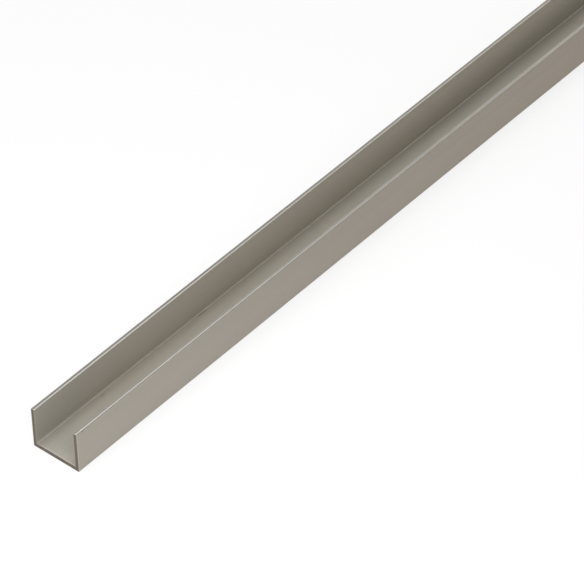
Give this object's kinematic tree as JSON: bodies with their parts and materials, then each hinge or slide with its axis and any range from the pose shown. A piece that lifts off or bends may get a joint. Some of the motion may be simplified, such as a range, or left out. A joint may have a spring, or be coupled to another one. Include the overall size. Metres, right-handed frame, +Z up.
{
  "type": "aluminium u-channel",
  "caption": "Straight length of extruded aluminium U-channel with a flat web, equal upright flanges and square-sawn ends, for edging, guiding or framing panels.",
  "frame": {"origin": "middle of the web's underside, half-way along the bar, on the surface that the bar lies on", "axes": "+X along the bar, +Y across the web, +Z up out of the open side"},
  "size_m": [0.5, 0.03, 0.025],
  "materials": {
    "satin_aluminium": "satin"
  },
  "bodies": {
    "root": {"u_channel": "satin_aluminium"}
  },
  "joints": []
}
